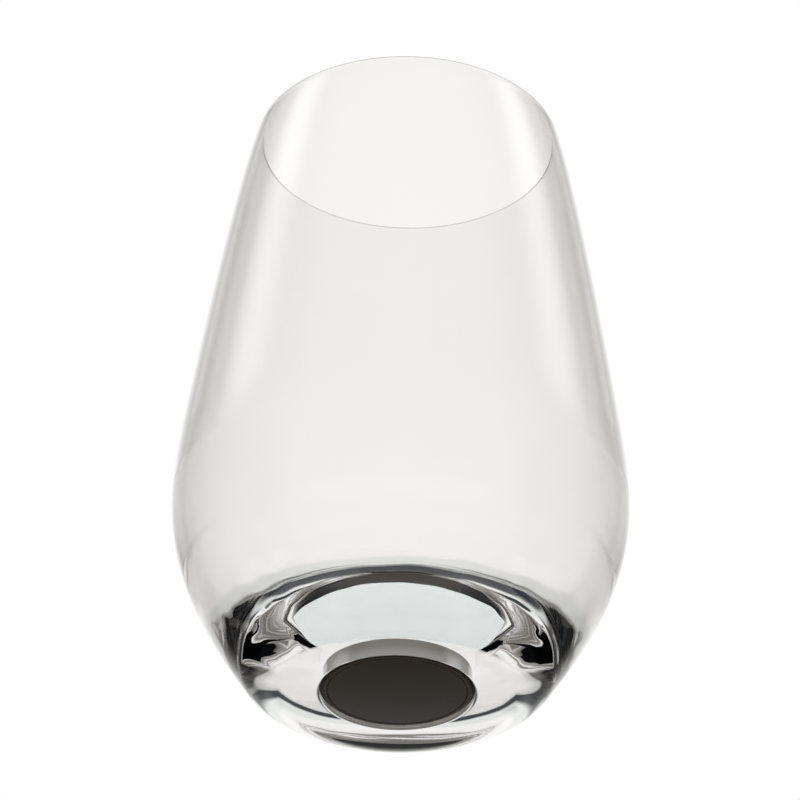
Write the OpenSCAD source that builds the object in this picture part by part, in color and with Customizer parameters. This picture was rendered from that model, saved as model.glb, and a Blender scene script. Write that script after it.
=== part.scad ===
// Highball glass: a stemless tapered tumbler with a thick clear base and a
// round magnet under a dark cover, bonded into a recess in the underside.
// Millimetres, +Z up, origin at the centre of the standing ring.

/* [Outside of the glass] */
// Height from the standing ring to the top of the rim
glass_h = 121.2; // [100:0.1:150]
// Outside diameter of the rim
rim_d = 59.6; // [50:0.1:70]
// Outside diameter at the widest point of the belly
belly_d = 84.8; // [78:0.1:96]
// Height of the widest point of the belly
belly_z = 40; // [34:0.1:48]
// Radius of the bulge just above the widest point, seen from the side
belly_round = 66; // [30:1:120]
// Outside diameter of the flat ring that the glass stands on
foot_d = 42.8; // [38:0.1:52]
// Width of the flat ring that the glass stands on
land_w = 2; // [1:0.1:4]
// Height that the underside is dished inside the standing ring
dish_h = 0.3; // [0.1:0.05:0.8]
// Radius of the rounded heel around the standing ring
heel_r = 8.5; // [3:0.1:12]
// Angle of the side above the heel, measured from the table
heel_angle = 55.5; // [45:0.5:65]
// Angle that the side leans inwards above the belly, measured from upright
taper_lean = 7; // [3:0.1:10]
// Angle that the side leans inwards at the rim, measured from upright
rim_lean = 16.7; // [10:0.1:25]

/* [Inside of the glass] */
// Thickness of the rim, which is fire-polished to a half round
rim_wall = 1.1; // [0.8:0.05:2]
// Thickness of the wall at the belly
belly_wall = 1.4; // [1:0.05:3]
// Thickness of the wall where the thick base starts
corner_wall = 2.6; // [1.2:0.05:4]
// Height that the thick inside corner takes above the floor
corner_rise = 12.5; // [8:0.25:20]
// How far the top of the inside corner follows the wall, from slack to square
corner_fullness = 0.5; // [0.2:0.02:0.8]
// How far the floor runs on level before it turns up, from slack to square
floor_fullness = 0.38; // [0.1:0.02:0.8]
// Diameter of the floor, where the inside corner starts
floor_d = 44.6; // [36:0.1:54]
// Height that the middle of the floor rises above its edge
dome_h = 1.3; // [0.2:0.1:3]
// Glass between the roof of the recess and the edge of the floor, in height
roof_t = 2.6; // [1:0.1:6]

/* [Recess in the underside] */
// Diameter of the recess
recess_d = 28.2; // [24:0.1:34]
// Chamfer on the mouth of the recess
recess_chamfer = 0.3; // [0.1:0.05:0.6]
// Depth of the cover's face, measured from the table
cap_setback = 0.6; // [0.2:0.05:1.5]

/* [Magnet and its cover] */
// Diameter of the magnet
magnet_d = 24; // [18:0.5:25]
// Thickness of the magnet
magnet_t = 7.5; // [3:0.1:10]
// Chamfer on the edges of the magnet
magnet_chamfer = 0.3; // [0.1:0.05:0.6]
// Thickness of the cover's face below the magnet
cap_face_t = 1.6; // [0.8:0.1:2.4]
// Bevel around the cover's face
cap_bevel = 0.35; // [0.1:0.05:0.6]
// Thickness of the cured adhesive above the magnet
bond_t = 0.3; // [0.1:0.05:0.8]
// Width of the sealed groove around the cover
seal_w = 0.5; // [0.3:0.05:0.9]
// Depth of the sealant's face below the cover's face
seal_setback = 0.25; // [0.1:0.05:0.5]
// Height of the sealant bead
seal_h = 1.6; // [1:0.1:2.5]

/* [Fits] */
// Room around the magnet in its cover
magnet_clearance = 0.1; // [0.05:0.05:0.3]
// Room between the sealant and the round walls on both sides of it
seal_clearance = 0.02; // [0.01:0.01:0.05]

/* [Hidden] */
$fn = 96;

// Steps along each curve of the outline
DISH_STEPS = 6;
HEEL_STEPS = 10;
SIDE_STEPS = 24;
BELLY_STEPS = 6;
TAPER_STEPS = 28;
RIM_STEPS = 12;
CORNER_STEPS = 24;
DOME_STEPS = 12;
SEARCH_STEPS = 200;

// Curve handles that give the sides their easy sweep
side_pull = 16.7;
belly_pull = 13.4;
taper_pull = 13.6;
rim_pull = 13.4;

// Heights of the stack in the recess
cap_z = cap_setback;
magnet_z = cap_z + cap_face_t;
bond_z = magnet_z + magnet_t;
recess_depth = bond_z + bond_t;
floor_z = recess_depth + roof_t;
corner_z = floor_z + corner_rise;

// Diameters of the stack in the recess
cap_d = recess_d - 2 * seal_w;
pocket_d = magnet_d + 2 * magnet_clearance;

// Curve through four control points, its direction and its inward normal
function curve(c, t) = pow(1 - t, 3) * c[0] + 3 * t * pow(1 - t, 2) * c[1]
    + 3 * t * t * (1 - t) * c[2] + pow(t, 3) * c[3];
function slope(c, t) = pow(1 - t, 2) * (c[1] - c[0]) + 2 * t * (1 - t) * (c[2] - c[1])
    + t * t * (c[3] - c[2]);
function unit(v) = v / norm(v);
function inward(c, t) = let (d = unit(slope(c, t))) [-d[1], d[0]];
function inset(c, t, wall) = curve(c, t) + wall * inward(c, t);
function mix(a, b, t) = a + (b - a) * t;

// Outside of the glass, as radius and height: heel, low side, bulge of the belly, taper to the rim
heel_end = [foot_d / 2 + heel_r * sin(heel_angle), heel_r * (1 - cos(heel_angle))];
belly = [belly_d / 2, belly_z];
taper_dir = [-sin(taper_lean), cos(taper_lean)];
taper_start = belly_arc(taper_lean, belly_round);
rim_dir = [-sin(rim_lean), cos(rim_lean)];
rim_in = [-rim_dir[1], rim_dir[0]];
rim_edge = [rim_d / 2, glass_h - rim_wall / 2 * (1 - sin(rim_lean))];
rim_mid = rim_edge + rim_in * rim_wall / 2;
low_side = [
    heel_end,
    heel_end + side_pull * [cos(heel_angle), sin(heel_angle)],
    belly - [0, belly_pull],
    belly
];
taper = [
    taper_start,
    taper_start + taper_pull * taper_dir,
    rim_edge - rim_pull * rim_dir,
    rim_edge
];
function belly_arc(a, radius) = belly + [radius * cos(a) - belly_round, radius * sin(a)];

// Inside corner: it leaves the wall at corner_z and ends level at the edge of the floor
corner_t = lookup(corner_z, [
    for (i = [0:SEARCH_STEPS])
        let (t = i / SEARCH_STEPS)
        [inset(low_side, t, corner_wall)[1], t]
]);
corner_top = inset(low_side, corner_t, corner_wall);
corner_dir = unit(slope(low_side, corner_t));
corner_apex = corner_top - corner_dir * (corner_top[1] - floor_z) / corner_dir[1];
floor_edge = [floor_d / 2, floor_z];
inside_corner = [
    corner_top,
    mix(corner_top, corner_apex, corner_fullness),
    mix(floor_edge, corner_apex, floor_fullness),
    floor_edge
];

// Underside: its dish runs from the standing ring up to the mouth of the recess
mouth_r = recess_d / 2 + recess_chamfer;
ring_in_r = foot_d / 2 - land_w;

// Closed outline of the glass, from the middle of the recess roof and round the outside
glass_outline = concat(
    [[0, recess_depth], [recess_d / 2, recess_depth], [recess_d / 2, dish_h + recess_chamfer]],
    [
        for (i = [0:DISH_STEPS])
            let (share = 1 - i / DISH_STEPS)
            [mix(ring_in_r, mouth_r, share), dish_h * share * share]
    ],
    [
        for (i = [0:HEEL_STEPS])
            let (a = heel_angle * i / HEEL_STEPS)
            [foot_d / 2 + heel_r * sin(a), heel_r * (1 - cos(a))]
    ],
    [for (i = [1:SIDE_STEPS]) curve(low_side, i / SIDE_STEPS)],
    [for (i = [1:BELLY_STEPS]) belly_arc(taper_lean * i / BELLY_STEPS, belly_round)],
    [for (i = [1:TAPER_STEPS]) curve(taper, i / TAPER_STEPS)],
    [
        for (i = [1:RIM_STEPS])
            let (a = 180 * i / RIM_STEPS)
            rim_mid + rim_wall / 2 * (rim_dir * sin(a) - rim_in * cos(a))
    ],
    [
        for (i = [1:TAPER_STEPS])
            let (t = 1 - i / TAPER_STEPS)
            inset(taper, t, mix(belly_wall, rim_wall, t))
    ],
    [
        for (i = [1:BELLY_STEPS])
            belly_arc(taper_lean * (1 - i / BELLY_STEPS), belly_round - belly_wall)
    ],
    [
        for (i = [1:SIDE_STEPS])
            let (share = i / SIDE_STEPS, t = mix(1, corner_t, share))
            inset(low_side, t, mix(belly_wall, corner_wall, share))
    ],
    [for (i = [1:CORNER_STEPS]) curve(inside_corner, i / CORNER_STEPS)],
    [
        for (i = [1:DOME_STEPS])
            let (share = 1 - i / DOME_STEPS)
            [floor_d / 2 * share, floor_z + dome_h * (1 + cos(180 * share)) / 2]
    ]
);

module glass_body() {
    color([0.9, 0.94, 0.95, 0.4])
        rotate_extrude()
            polygon(glass_outline);
}

// Shallow cup whose face closes the recess and whose rim stands around the magnet
module base_cap() {
    color([0.19, 0.18, 0.16])
        rotate_extrude()
            polygon([
                [0, cap_z],
                [cap_d / 2 - cap_bevel, cap_z],
                [cap_d / 2, cap_z + cap_bevel],
                [cap_d / 2, bond_z],
                [pocket_d / 2, bond_z],
                [pocket_d / 2, magnet_z],
                [0, magnet_z]
            ]);
}

module magnet_disc() {
    radius = magnet_d / 2;
    color([0.72, 0.72, 0.7])
        rotate_extrude()
            polygon([
                [0, magnet_z],
                [radius - magnet_chamfer, magnet_z],
                [radius, magnet_z + magnet_chamfer],
                [radius, bond_z - magnet_chamfer],
                [radius - magnet_chamfer, bond_z],
                [0, bond_z]
            ]);
}

// Cured layer that holds the magnet and its cover to the roof of the recess
module adhesive_bed() {
    color([0.86, 0.88, 0.88])
        translate([0, 0, bond_z])
            cylinder(d = cap_d, h = bond_t);
}

// Ring of sealant in the groove between the cover and the wall of the recess
module seal_bead() {
    outer_r = recess_d / 2 - seal_clearance;
    inner_r = cap_d / 2 + seal_clearance;
    face_z = cap_z + cap_bevel + seal_setback;
    color([0.1, 0.1, 0.09])
        rotate_extrude()
            polygon([
                [inner_r, face_z],
                [outer_r, face_z],
                [outer_r, face_z + seal_h],
                [inner_r, face_z + seal_h]
            ]);
}

glass_body();
base_cap();
magnet_disc();
adhesive_bed();
seal_bead();
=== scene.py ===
# %% [markdown]
# A clear highball glass without a stem. The photo looks up at it from below, so its thick base is the
# main thing in the picture: a round recess in the underside holds a magnet behind a dark cover, and the
# glass around it bends the white backdrop and the dark room into arcs and loops. The imported solids give
# every size. This first cell loads them.

# %% Load the imported solids
import math
import bpy
from mathutils import Matrix, Vector


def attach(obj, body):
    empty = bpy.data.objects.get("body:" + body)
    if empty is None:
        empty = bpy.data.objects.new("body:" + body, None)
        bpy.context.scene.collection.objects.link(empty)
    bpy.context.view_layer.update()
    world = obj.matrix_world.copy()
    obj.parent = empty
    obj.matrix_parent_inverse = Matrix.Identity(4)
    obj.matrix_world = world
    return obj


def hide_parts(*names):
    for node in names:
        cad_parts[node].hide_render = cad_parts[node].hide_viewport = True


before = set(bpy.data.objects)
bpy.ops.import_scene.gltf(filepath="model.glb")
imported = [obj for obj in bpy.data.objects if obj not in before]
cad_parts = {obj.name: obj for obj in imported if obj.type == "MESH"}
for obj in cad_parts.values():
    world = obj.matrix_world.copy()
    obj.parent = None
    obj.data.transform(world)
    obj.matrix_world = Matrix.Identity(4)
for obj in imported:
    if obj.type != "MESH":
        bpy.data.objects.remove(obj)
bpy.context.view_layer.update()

MM = 0.001
scene = bpy.context.scene

# %% [markdown]
# The camera stands low in front of the glass and looks up, as the oval of the rim and the oval of the
# dark cover show. Both ovals and the outline fix its height, distance and lens. It could be aimed with a
# constraint, but one matrix is enough for a camera that stays put. A small roll and a small shift bring
# the axis of the glass onto the axis in the picture.

# %% Camera
FRAME_PX, FOCAL_PX = 800, 3720.6
SENSOR_MM = 36.0
CAMERA_ELEVATION = math.radians(-31.92)
CAMERA_ROLL = math.radians(1.1)
CAMERA_DISTANCE = 702.3 * MM
CAMERA_AIM = Vector((0, 0, 62.44 * MM))
CAMERA_SHIFT = -0.0035  # as a share of the picture's width
CAMERA_CLIP = 0.01

camera_data = bpy.data.cameras.new("low_camera")
camera = bpy.data.objects.new("low_camera", camera_data)
scene.collection.objects.link(camera)
scene.camera = camera
camera_data.sensor_width = SENSOR_MM
camera_data.lens = FOCAL_PX / FRAME_PX * SENSOR_MM
camera_data.shift_x = CAMERA_SHIFT
camera_data.clip_start = CAMERA_CLIP
away = Vector((0, -math.cos(CAMERA_ELEVATION), math.sin(CAMERA_ELEVATION)))
camera.matrix_world = (
    Matrix.Translation(CAMERA_AIM + away * CAMERA_DISTANCE)
    @ (-away).to_track_quat("-Z", "Y").to_matrix().to_4x4()
    @ Matrix.Rotation(CAMERA_ROLL, 4, "Z")
)
print("camera lens", round(camera_data.lens, 1), "mm, at", [round(v, 3) for v in camera.location])

# %% [markdown]
# A blown and pressed glass is round, so its shape is one half outline turned about the axis. The same
# could be had from a cylinder and many scaled loops, but drawing the half outline point by point and
# spinning it keeps every curve smooth, which matters here because the glass bends what is seen through
# it. This helper does that for all round pieces: a small plane is merged to one point, which is extruded
# along the outline, spun about the axis and closed.

# %% Helper: draw a half outline and spin it
MERGE = 0.002 * MM


def spin_outline(name, outline, steps, smooth_degrees):
    """A round closed piece from a half outline of (radius, height) in millimetres."""
    bpy.ops.object.select_all(action="DESELECT")
    bpy.ops.mesh.primitive_plane_add(size=MM, location=(0, 0, 0))
    piece = bpy.context.object
    piece.name = piece.data.name = name
    bpy.ops.object.mode_set(mode="EDIT")
    bpy.ops.mesh.select_all(action="SELECT")
    bpy.ops.mesh.merge(type="CENTER")
    here = Vector((0, 0, 0))
    for k, (radius, height) in enumerate(outline):
        there = Vector((radius * MM, 0, height * MM))
        if k == 0:
            bpy.ops.transform.translate(value=there - here)
        else:
            bpy.ops.mesh.extrude_region_move(TRANSFORM_OT_translate={"value": there - here})
        here = there
    bpy.ops.mesh.select_all(action="SELECT")
    bpy.ops.mesh.spin(steps=steps, angle=math.tau, center=(0, 0, 0), axis=(0, 0, 1))
    bpy.ops.mesh.select_all(action="SELECT")
    bpy.ops.mesh.remove_doubles(threshold=MERGE)
    bpy.ops.mesh.normals_make_consistent(inside=False)
    bpy.ops.object.mode_set(mode="OBJECT")
    bpy.ops.object.shade_smooth_by_angle(angle=math.radians(smooth_degrees))
    print(name, len(piece.data.vertices), "vertices,", len(piece.data.polygons), "faces")
    return piece


# %% [markdown]
# The outside of the glass: a narrow ring that it stands on, a round heel, a low side that sweeps out to
# the belly, and a long taper to the rim. The points could be read off a drawing one by one. Two easy
# curves, each with a handle at either end, need only a few sizes and have no kinks. The inside follows
# the outside at the wall's thickness, down to a thick corner and a floor with a low dome.

# %% Sizes of the glass, in millimetres
# Height, rim, and the widest point with the bulge just above it
GLASS_H, RIM_D, BELLY_D, BELLY_Z = 121.2, 59.6, 84.8, 40.0
BELLY_ROUND, TAPER_LEAN, RIM_LEAN = 66.0, math.radians(7), math.radians(16.7)
# Foot: the flat ring, the dish inside it, and the heel with the slope above it
FOOT_D, LAND_W, DISH_H = 42.8, 2.0, 0.3
HEEL_R, HEEL_ANGLE = 8.5, math.radians(55.5)
# Lengths of the handles of the low side and of the taper
SIDE_PULL, BELLY_PULL, TAPER_PULL, RIM_PULL = 16.7, 13.4, 13.6, 13.4
# Wall, floor, and the thick corner between them
RIM_WALL, BELLY_WALL, CORNER_WALL = 1.1, 1.4, 2.6
FLOOR_D, FLOOR_Z, DOME_H = 44.6, 12.6, 1.3
CORNER_RISE, CORNER_FULL, FLOOR_FULL = 12.5, 0.5, 0.38
# Recess in the underside
RECESS_D, RECESS_DEPTH, RECESS_CHAMFER = 28.2, 10.0, 0.3
# How far the recess's roof lies in the adhesive, so that no air is left between glass and adhesive
BOND_LAP = 0.01
print("glass", GLASS_H, "mm high,", BELLY_D, "mm wide, rim", RIM_D, "mm")


# %% Helpers for the curves
def bend(handles, t):
    """On the curve of four handles: the point, the inward way square to the curve, the way along it."""
    a, b, c, d = handles
    s = 1 - t
    point = a * s**3 + b * (3 * s * s * t) + c * (3 * s * t * t) + d * t**3
    slope = ((b - a) * s * s + (c - b) * (2 * s * t) + (d - c) * t * t).normalized()
    return point, Vector((-slope.y, slope.x)), slope


def wall_at(handles, t, wall):
    """The point of the inside that lies one wall's thickness in from a curve of the outside."""
    point, inward, _ = bend(handles, t)
    return point + inward * wall


def polar(angle, length):
    """A step of some length at an angle, in radius and height."""
    return Vector((math.cos(angle), math.sin(angle))) * length


def shares(count, start=1):
    """Even shares of the way along a curve, up to the whole."""
    return [k / count for k in range(start, count + 1)]


# %% Handles of the outside
belly = Vector((BELLY_D / 2, BELLY_Z))
heel_mid = Vector((FOOT_D / 2, HEEL_R))
heel_end = heel_mid + polar(HEEL_ANGLE - math.pi / 2, HEEL_R)
low_side = [heel_end, heel_end + polar(HEEL_ANGLE, SIDE_PULL), belly - Vector((0, BELLY_PULL)), belly]
belly_mid = belly - Vector((BELLY_ROUND, 0))
taper_start = belly_mid + polar(TAPER_LEAN, BELLY_ROUND)
rim_way = polar(math.pi / 2 + RIM_LEAN, 1)
rim_in = Vector((-rim_way.y, rim_way.x))
rim_edge = Vector((RIM_D / 2, GLASS_H - RIM_WALL / 2 * (1 - math.sin(RIM_LEAN))))
rim_mid = rim_edge + rim_in * RIM_WALL / 2
taper = [taper_start, taper_start + polar(math.pi / 2 + TAPER_LEAN, TAPER_PULL),
         rim_edge - rim_way * RIM_PULL, rim_edge]
print("low side up to", [round(v, 1) for v in belly], "taper up to", [round(v, 1) for v in rim_edge])

# %% Handles of the inside corner
# The corner leaves the wall at a known height; halving finds the place on the low side
CLOSE_ENOUGH = 1e-6
low, high = 0.0, 1.0
while high - low > CLOSE_ENOUGH:
    corner_t = (low + high) / 2
    if wall_at(low_side, corner_t, CORNER_WALL).y < FLOOR_Z + CORNER_RISE:
        low = corner_t
    else:
        high = corner_t
corner_top = wall_at(low_side, corner_t, CORNER_WALL)
corner_way = bend(low_side, corner_t)[2]
corner_apex = corner_top - corner_way * (CORNER_RISE / corner_way.y)
floor_edge = Vector((FLOOR_D / 2, FLOOR_Z))
inside_corner = [corner_top, corner_top.lerp(corner_apex, CORNER_FULL),
                 floor_edge.lerp(corner_apex, FLOOR_FULL), floor_edge]
print("inside corner from", [round(v, 1) for v in corner_top],
      "to the floor at", [round(v, 1) for v in floor_edge])

# %% Half outline: recess, underside and outside
DISH_STEPS, HEEL_STEPS, SIDE_STEPS, BELLY_STEPS, TAPER_STEPS = 16, 40, 44, 8, 36
recess_r = RECESS_D / 2
roof_z = RECESS_DEPTH - BOND_LAP
mouth_r = recess_r + RECESS_CHAMFER
land_r = FOOT_D / 2 - LAND_W
outline = [(0, roof_z), (recess_r / 2, roof_z), (recess_r, roof_z),
           (recess_r, RECESS_DEPTH / 2), (recess_r, DISH_H + RECESS_CHAMFER)]
outline += [(mouth_r + (land_r - mouth_r) * s, DISH_H * (1 - s) ** 2) for s in shares(DISH_STEPS, 0)]
outline += [heel_mid + polar(-math.pi / 2 + HEEL_ANGLE * s, HEEL_R) for s in shares(HEEL_STEPS, 0)]
outline += [bend(low_side, s)[0] for s in shares(SIDE_STEPS)]
outline += [belly_mid + polar(TAPER_LEAN * s, BELLY_ROUND) for s in shares(BELLY_STEPS)]
outline += [bend(taper, s)[0] for s in shares(TAPER_STEPS)]
print("outside of", len(outline), "points")

# %% Half outline: rim and inside
# The thick corner and the floor get the most points, because they bend the light most
RIM_STEPS, INSIDE_STEPS, CORNER_STEPS, DOME_STEPS = 14, 30, 80, 48
outline += [rim_mid + rim_way * (RIM_WALL / 2 * math.sin(math.pi * s))
            - rim_in * (RIM_WALL / 2 * math.cos(math.pi * s)) for s in shares(RIM_STEPS)]
outline += [wall_at(taper, 1 - s, RIM_WALL + (BELLY_WALL - RIM_WALL) * s) for s in shares(TAPER_STEPS)]
outline += [belly_mid + polar(TAPER_LEAN * (1 - s), BELLY_ROUND - BELLY_WALL) for s in shares(BELLY_STEPS)]
outline += [wall_at(low_side, 1 + (corner_t - 1) * s, BELLY_WALL + (CORNER_WALL - BELLY_WALL) * s)
            for s in shares(INSIDE_STEPS)]
outline += [bend(inside_corner, s)[0] for s in shares(CORNER_STEPS)]
for s in shares(DOME_STEPS):
    r = 1 - s
    outline.append((FLOOR_D / 2 * r, FLOOR_Z + DOME_H * (1 + math.cos(math.pi * r)) / 2))
print("half outline of", len(outline), "points")

# %% Spin the glass
GLASS_STEPS, GLASS_SMOOTH = 160, 40  # steps of the full turn, and the degrees up to which edges look smooth
glass = spin_outline("tumbler_glass", outline, GLASS_STEPS, GLASS_SMOOTH)

# %% [markdown]
# Glass that was blown is never quite even where it is thick: the inside of the base keeps slow waves from
# the melt, and they make the lines seen in it wobble. They could be sculpted. A cloud texture that moves
# the inner points by a few hundredths of a millimetre is easier to keep small, and it is applied, so the
# waves are in the mesh.

# %% Waves on the inside of the base
WAVE_MM, WAVE_DEEP_MM = 7.0, 0.16  # width of a wave, and height from trough to crest
FLOOR_SLACK, SIDE_SAMPLES = 0.01, 60
side_points = [bend(low_side, s)[0] for s in shares(SIDE_SAMPLES, 0)]


def on_inner_base(place):
    """Whether a point of the glass is on the floor or the corner, and not on the outside."""
    radius, height = math.hypot(place.x, place.y) / MM, place.z / MM
    if not FLOOR_Z - FLOOR_SLACK < height < corner_top.y or radius > corner_top.x:
        return False
    beside = min(side_points, key=lambda point: abs(point.y - height))
    return radius < beside.x - CORNER_WALL / 2


inner_base = glass.vertex_groups.new(name="inner_base")
inner_base.add([v.index for v in glass.data.vertices if on_inner_base(v.co)], 1.0, "REPLACE")
melt_waves = bpy.data.textures.new("melt_waves", "CLOUDS")
melt_waves.noise_scale = WAVE_MM * MM
melt_waves.noise_depth = 1
melt = glass.modifiers.new("melt", "DISPLACE")
melt.texture, melt.texture_coords, melt.vertex_group = melt_waves, "LOCAL", inner_base.name
melt.strength, melt.mid_level = WAVE_DEEP_MM * MM, 0.5
bpy.context.view_layer.objects.active = glass
bpy.ops.object.modifier_apply(modifier=melt.name)
print("waves of", WAVE_DEEP_MM, "mm on the inside of the base")
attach(glass, "root")
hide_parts("glass_body")

# %% [markdown]
# Materials are networks of nodes, and they could be wired by hand in the shader editor. In a script, one
# function that adds a node with its settings and links keeps them short. A colour is written as it would
# be picked on a screen, so another function turns it into the linear light that the renderer works in.

# %% Helpers for materials
def linear(code):
    """A hex colour as linear red, green, blue and a full alpha."""
    parts = [int(code[i:i + 2], 16) / 255 for i in (1, 3, 5)]
    return [c / 12.92 if c <= 0.04045 else ((c + 0.055) / 1.055) ** 2.4 for c in parts] + [1.0]


def add_node(tree, kind, inputs=None, **settings):
    """A node with its settings; each input is a number, a colour or the socket that feeds it."""
    made = tree.nodes.new("ShaderNode" + kind)
    for key, value in settings.items():
        setattr(made, key, value)
    for key, value in (inputs or {}).items():
        if isinstance(value, bpy.types.NodeSocket):
            tree.links.new(value, made.inputs[key])
        else:
            made.inputs[key].default_value = value
    return made


def new_material(name):
    """An empty material and its tree of nodes."""
    made = bpy.data.materials.new(name)
    made.use_nodes = True
    made.node_tree.nodes.clear()
    return made, made.node_tree


def dress(piece, material):
    """Gives a piece one material, and says so."""
    piece.data.materials.clear()
    piece.data.materials.append(material)
    print(piece.name, "wears", material.name)


# %% [markdown]
# The glass is lead-free crystal, fire-polished after it was shaped. A glass shader would do. The
# Principled shader at full transmission does the same and survives the export, so it is used for every
# piece. The surface is never perfectly even, so a very slow swell is left in the normals.

# %% Fire-polished crystal glass
# Its skin was melted smooth, so it has no roughness, and what is seen in it stays sharp and bright
SWELL_MM = 14.0
crystal, tree = new_material("fire_polished_crystal")
where = add_node(tree, "TexCoord")
swell = add_node(tree, "TexNoise", {
    "Vector": where.outputs["Object"], "Scale": 1 / (SWELL_MM * MM), "Detail": 1.0})
skin = add_node(tree, "Bump", {"Height": swell.outputs["Fac"], "Strength": 0.02, "Distance": 0.05 * MM})
surface = add_node(tree, "BsdfPrincipled", {
    "Base Color": linear("#FFFEFD"), "Roughness": 0.0, "IOR": 1.52, "Transmission Weight": 1.0,
    "Normal": skin.outputs["Normal"]})
add_node(tree, "OutputMaterial", {"Surface": surface.outputs[0]})
dress(glass, crystal)

# %% [markdown]
# The dark cover is a moulded cup: its face closes the recess and its rim stands round the magnet. It
# could be a cylinder with an inset and some bevels. It is spun like the glass, because the half outline
# then holds the soft edge, the fine groove inside it and the slight crown of the face, which show in the
# photo as thin rings and as a face that is a little lighter low in the picture.

# %% Cover
COVER_R, COVER_Z, COVER_FACE, POCKET_R, COVER_TOP = 13.6, 0.6, 1.6, 12.1, 9.7
EDGE_R, GROOVE_R, GROOVE_W, GROOVE_DEEP = 0.35, 12.75, 0.22, 0.12
CROWN, FACE_STEPS, EDGE_STEPS = 0.35, 24, 8
POCKET_RING = 6.0  # one more ring on the floor of the pocket, so that its faces are not too long
COVER_STEPS, COVER_SMOOTH = 128, 35
face_r = GROOVE_R - GROOVE_W
pocket_z = COVER_Z + COVER_FACE
cover_outline = [(face_r * s, COVER_Z - CROWN * (1 - s * s)) for s in shares(FACE_STEPS, 0)]
cover_outline += [(GROOVE_R - GROOVE_W / 2, COVER_Z + GROOVE_DEEP), (GROOVE_R, COVER_Z)]
edge_mid = Vector((COVER_R - EDGE_R, COVER_Z + EDGE_R))
cover_outline += [edge_mid + polar(-math.pi / 2 * (1 - s), EDGE_R) for s in shares(EDGE_STEPS, 0)]
cover_outline += [(COVER_R, COVER_TOP), (POCKET_R, COVER_TOP), (POCKET_R, pocket_z),
                  (POCKET_RING, pocket_z), (0, pocket_z)]
cover = spin_outline("magnet_cover", cover_outline, COVER_STEPS, COVER_SMOOTH)
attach(cover, "root")
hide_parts("base_cap")

# %% [markdown]
# The cover is moulded plastic, nearly black with a little olive. One flat colour would look like a hole
# in the picture, so slow clouds change its tone and a fine grain changes its roughness and its surface.

# %% Moulded cover plastic
# A dull face with a soft, broad sheen. A real mould grain is about 0.1 mm, and it is drawn coarser to show
GRAIN_MM, CLOUD_MM = 0.35, 9.0
moulded, tree = new_material("moulded_olive_black_plastic")
where = add_node(tree, "TexCoord")
grain = add_node(tree, "TexNoise", {
    "Vector": where.outputs["Object"], "Scale": 1 / (GRAIN_MM * MM), "Detail": 4.0})
cloud = add_node(tree, "TexNoise", {
    "Vector": where.outputs["Object"], "Scale": 1 / (CLOUD_MM * MM), "Detail": 2.0})
tone = add_node(tree, "ValToRGB", {"Fac": cloud.outputs["Fac"]})
tone.color_ramp.elements[0].color = linear("#221B11")
tone.color_ramp.elements[1].color = linear("#292117")
rough = add_node(tree, "MapRange", {"Value": grain.outputs["Fac"], "To Min": 0.28, "To Max": 0.4})
skin = add_node(tree, "Bump", {"Height": grain.outputs["Fac"], "Strength": 0.12, "Distance": 0.02 * MM})
surface = add_node(tree, "BsdfPrincipled", {
    "Base Color": tone.outputs["Color"], "Roughness": rough.outputs["Result"], "IOR": 1.5,
    "Specular IOR Level": 0.14, "Normal": skin.outputs["Normal"]})
add_node(tree, "OutputMaterial", {"Surface": surface.outputs[0]})
dress(cover, moulded)

# %% [markdown]
# Behind the cover are the magnet, the adhesive that holds it and the sealant round the cover. They could
# be modelled again, but they are plain round pieces and mostly hidden, so they keep their solids and get
# only their finish here. The adhesive is the one that shows: mirrored in the floor of the glass, it is
# the pale lens shape above the dark cover.

# %% Nickel plate on the magnet
# Bright plated metal, a little warm, whose shine is broken up by fine wear from handling
WEAR_MM = 1.5
nickel, tree = new_material("nickel_plate")
where = add_node(tree, "TexCoord")
wear = add_node(tree, "TexNoise", {
    "Vector": where.outputs["Object"], "Scale": 1 / (WEAR_MM * MM), "Detail": 5.0})
rough = add_node(tree, "MapRange", {"Value": wear.outputs["Fac"], "To Min": 0.18, "To Max": 0.38})
surface = add_node(tree, "BsdfPrincipled", {
    "Base Color": linear("#B8B4AB"), "Metallic": 1.0, "Roughness": rough.outputs["Result"]})
add_node(tree, "OutputMaterial", {"Surface": surface.outputs[0]})
dress(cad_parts["magnet_disc"], nickel)

# %% Cured adhesive
# White epoxy, matt and a little cloudy from its flow; it lies against glass, so its face has no gloss
FLOW_MM = 5.0
epoxy, tree = new_material("cured_white_epoxy")
where = add_node(tree, "TexCoord")
flow = add_node(tree, "TexNoise", {
    "Vector": where.outputs["Object"], "Scale": 1 / (FLOW_MM * MM), "Detail": 3.0})
tone = add_node(tree, "ValToRGB", {"Fac": flow.outputs["Fac"]})
tone.color_ramp.elements[0].color = linear("#E3E9E9")
tone.color_ramp.elements[1].color = linear("#EDF1F0")
surface = add_node(tree, "BsdfPrincipled", {
    "Base Color": tone.outputs["Color"], "Roughness": 0.6, "IOR": 1.52, "Specular IOR Level": 0.0})
add_node(tree, "OutputMaterial", {"Surface": surface.outputs[0]})
dress(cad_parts["adhesive_bed"], epoxy)

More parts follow.
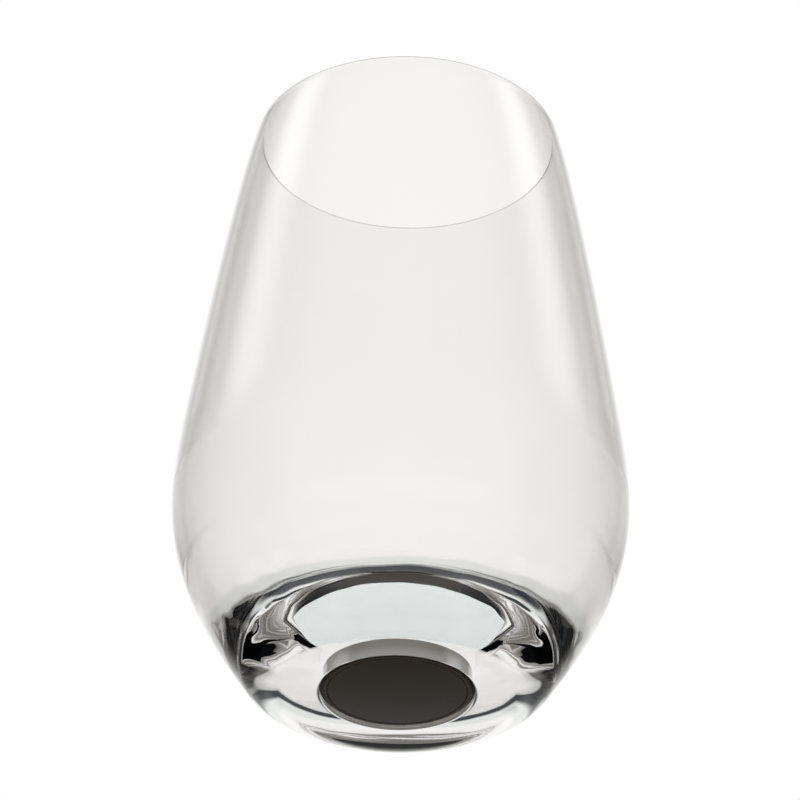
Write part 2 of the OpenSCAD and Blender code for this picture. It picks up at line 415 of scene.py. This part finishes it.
# %% Sealant
# Cured silicone, dark and satin, with the uneven skin of a bead that was wiped by hand
BEAD_MM = 0.8
rubber, tree = new_material("cured_dark_sealant")
where = add_node(tree, "TexCoord")
wiped = add_node(tree, "TexNoise", {
    "Vector": where.outputs["Object"], "Scale": 1 / (BEAD_MM * MM), "Detail": 3.0})
skin = add_node(tree, "Bump", {"Height": wiped.outputs["Fac"], "Strength": 0.3, "Distance": 0.05 * MM})
surface = add_node(tree, "BsdfPrincipled", {
    "Base Color": linear("#1C1B19"), "Roughness": 0.55, "IOR": 1.43, "Normal": skin.outputs["Normal"]})
add_node(tree, "OutputMaterial", {"Surface": surface.outputs[0]})
dress(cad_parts["seal_bead"], rubber)

# %% [markdown]
# The surroundings. Clear glass has no colour of its own: its arcs, contours and dark corners are all
# things that stood round it. A picture of a studio could be wrapped round the scene. Here the world is
# put together from a few soft patches, each between two angles aside and two angles up, so every one can
# be moved by its numbers. Straight ahead, behind the glass, is a lit backdrop; at the sides it is dark.

# %% Angles of each direction
world = bpy.data.worlds.new("studio")
scene.world = world
world.use_nodes = True
tree = world.node_tree
tree.nodes.clear()
way = add_node(tree, "SeparateXYZ", {"Vector": add_node(tree, "TexCoord").outputs["Generated"]})
azimuth = add_node(tree, "Math", {0: way.outputs["X"], 1: way.outputs["Y"]}, operation="ARCTAN2")
aside = add_node(tree, "Math", {0: azimuth.outputs[0]}, operation="ABSOLUTE")
up = add_node(tree, "Math", {0: way.outputs["Z"]}, operation="ARCSINE")
print("directions by angle aside and angle up")

# %% Patches of the surroundings
ROOM = "#74716C"
HALF_TURN = 180
# Colour, degrees aside, degrees up, softness of the upper and lower edge, softness of the sides
PATCHES = [
    ("#0C0E12", (64, 118), (-36, 20), 7, 7),            # dark room at both sides
    ("#121417", (34, 68), (-27, 7), 4, 4),              # dark low corners beside the backdrop
    ("#DCDCDA", (125, HALF_TURN), (-58, -18), 14, 14),  # pale floor behind the camera
    ("#FFFFFF", (28, 68), (61, 84), 5, 5),              # soft boxes overhead
    ("#FFFFFF", (70, 94), (36, 60), 11, 11),            # soft boxes at the sides
    ("#3A3C40", (0, 70), (-60, -24), 6, 6),             # shade below the backdrop
    ("#C4C4C4", (0, 40), (11, 44), 6, 6),               # outer part of the backdrop
    ("#FFFFFF", (0, 20), (-6, 45), 8, 12),              # lit middle of the backdrop
    ("#EEF1F0", (0, 16), (-24, 2), 6, 6),               # foot of the backdrop
]


def lay_patch(under, colour, sides, heights, soft, side_soft):
    """Lays a soft-edged patch of colour over what is there."""
    edges = [(up, heights[0], soft, True), (up, heights[1], soft, False)]
    if sides[0] > 0:
        edges.append((aside, sides[0], side_soft, True))
    if sides[1] < HALF_TURN:
        edges.append((aside, sides[1], side_soft, False))
    share = None
    for angle, edge, softness, starts in edges:
        step = add_node(tree, "MapRange", {
            "Value": angle.outputs[0],
            "From Min": math.radians(edge - softness), "From Max": math.radians(edge + softness),
            "To Min": 0.0 if starts else 1.0, "To Max": 1.0 if starts else 0.0},
            interpolation_type="SMOOTHSTEP").outputs["Result"]
        share = step if share is None else add_node(
            tree, "Math", {0: share, 1: step}, operation="MULTIPLY").outputs[0]
    return add_node(tree, "Mix", {0: share, 6: under, 7: linear(colour)}, data_type="RGBA").outputs[2]


seen_by_glass = linear(ROOM)
for row in PATCHES:
    seen_by_glass = lay_patch(seen_by_glass, *row)
print(len(PATCHES), "patches round the glass")

# %% [markdown]
# Only rays that come from the glass may see the patches. The camera sees plain white, and matt surfaces
# are lit by an even white at a plain level, so their colours render as they are written.

# %% Who sees the surroundings
WHITE = (1.0, 1.0, 1.0, 1.0)
NONE_YET = 0.5  # a count below this is still nought
path = add_node(tree, "LightPath")
by_glass = add_node(tree, "Math", {
    0: path.outputs["Is Glossy Ray"], 1: path.outputs["Is Transmission Ray"]}, operation="MAXIMUM")
unscattered = add_node(tree, "Math", {0: path.outputs["Diffuse Depth"], 1: NONE_YET},
                       operation="LESS_THAN")
sees_patches = add_node(tree, "Math", {0: by_glass.outputs[0], 1: unscattered.outputs[0]},
                        operation="MULTIPLY")
colour = add_node(tree, "Mix", {0: sees_patches.outputs[0], 6: WHITE, 7: seen_by_glass}, data_type="RGBA")
light = add_node(tree, "Background", {"Color": colour.outputs[2], "Strength": 1.0})
add_node(tree, "OutputWorld", {"Surface": light.outputs[0]})
print("world", world.name)

# %% [markdown]
# A pale floor carries the glass and its shadow. The photo's camera is lower than the floor, so the floor
# has to be clear from below and still be there for a camera above it. It could be hidden by hand for the
# low view. Instead its material is clear on its back and for a ray that has already come up through it,
# and it holds back no light. A view from above has a white floor, which also shows through the glass.

# %% Floor
FLOOR_SIZE = 6.0
FLOOR_GAP = 0.02 * MM  # just under the glass, so that the two faces don't coincide
bpy.ops.object.select_all(action="DESELECT")
bpy.ops.mesh.primitive_plane_add(size=FLOOR_SIZE, location=(0, 0, -FLOOR_GAP))
floor = bpy.context.object
floor.name = "floor"
print("floor", FLOOR_SIZE, "m wide")

# %% White paper of the floor
# Glow and matt white add up to plain white where no shadow falls; seen through the glass it glows less
GLOW_SEEN, GLOW_THROUGH_GLASS, MATT = 0.62, 0.5, 0.38
paper, tree = new_material("white_paper_sweep")
path = add_node(tree, "LightPath")
facing = add_node(tree, "NewGeometry")
bent = add_node(tree, "Math", {
    0: path.outputs["Is Glossy Ray"], 1: path.outputs["Is Transmission Ray"]}, operation="MAXIMUM")
seen = add_node(tree, "Math", {0: bent.outputs[0], 1: path.outputs["Is Camera Ray"]}, operation="MAXIMUM")
from_above = add_node(tree, "Math", {0: path.outputs["Transparent Depth"], 1: NONE_YET},
                      operation="LESS_THAN")
front_side = add_node(tree, "Math", {0: from_above.outputs[0], 1: facing.outputs["Backfacing"]},
                      operation="SUBTRACT")
shown = add_node(tree, "Math", {0: seen.outputs[0], 1: front_side.outputs[0]},
                 operation="MULTIPLY", use_clamp=True)
glow_level = add_node(tree, "MapRange", {
    "Value": path.outputs["Is Camera Ray"], "To Min": GLOW_THROUGH_GLASS, "To Max": GLOW_SEEN})
glow = add_node(tree, "Emission", {"Color": WHITE, "Strength": glow_level.outputs["Result"]})
matt = add_node(tree, "BsdfDiffuse", {"Color": (MATT, MATT, MATT, 1)})
sheet = add_node(tree, "AddShader", {0: glow.outputs[0], 1: matt.outputs[0]})
clear = add_node(tree, "BsdfTransparent")
surface = add_node(tree, "MixShader", {0: shown.outputs[0], 1: clear.outputs[0], 2: sheet.outputs[0]})
add_node(tree, "OutputMaterial", {"Surface": surface.outputs[0]})
dress(floor, paper)

# %% [markdown]
# One soft lamp from the upper left gives the shadow a direction. A sun would make the edge of the shadow
# hard, so it is a large area lamp. The glass doesn't show it, because the patches already hold its soft
# boxes.

# %% Lamp
LAMP_SIZE, LAMP_WATTS = 0.9, 6.0
LAMP_AT, LAMP_AIM = Vector((-0.6, -0.5, 1.1)), Vector((0, 0, 0.05))
lamp_data = bpy.data.lights.new("soft_box", "AREA")
lamp_data.size = LAMP_SIZE
lamp_data.energy = LAMP_WATTS
lamp = bpy.data.objects.new("soft_box", lamp_data)
scene.collection.objects.link(lamp)
lamp_turn = (LAMP_AT - LAMP_AIM).to_track_quat("Z", "Y")
lamp.matrix_world = Matrix.Translation(LAMP_AT) @ lamp_turn.to_matrix().to_4x4()
lamp.visible_glossy = lamp.visible_transmission = lamp.visible_camera = False
print("lamp of", LAMP_WATTS, "W")

# %% [markdown]
# Light passes four surfaces on its way through the glass and is mirrored again and again in its base, so
# rays may turn more often than usual. Blender also blurs mirrored light after it has met a matt surface,
# to save time. Here that would darken the adhesive, which is lit through the glass, so it is off.

# %% Depth of the rays
CLEAR_TURNS, MATT_TURNS = 32, 12
scene.view_settings.view_transform = "Standard"
scene.cycles.max_bounces = scene.cycles.transmission_bounces = scene.cycles.glossy_bounces = CLEAR_TURNS
scene.cycles.diffuse_bounces = MATT_TURNS
scene.cycles.blur_glossy = 0.0
print("rays turn up to", CLEAR_TURNS, "times")
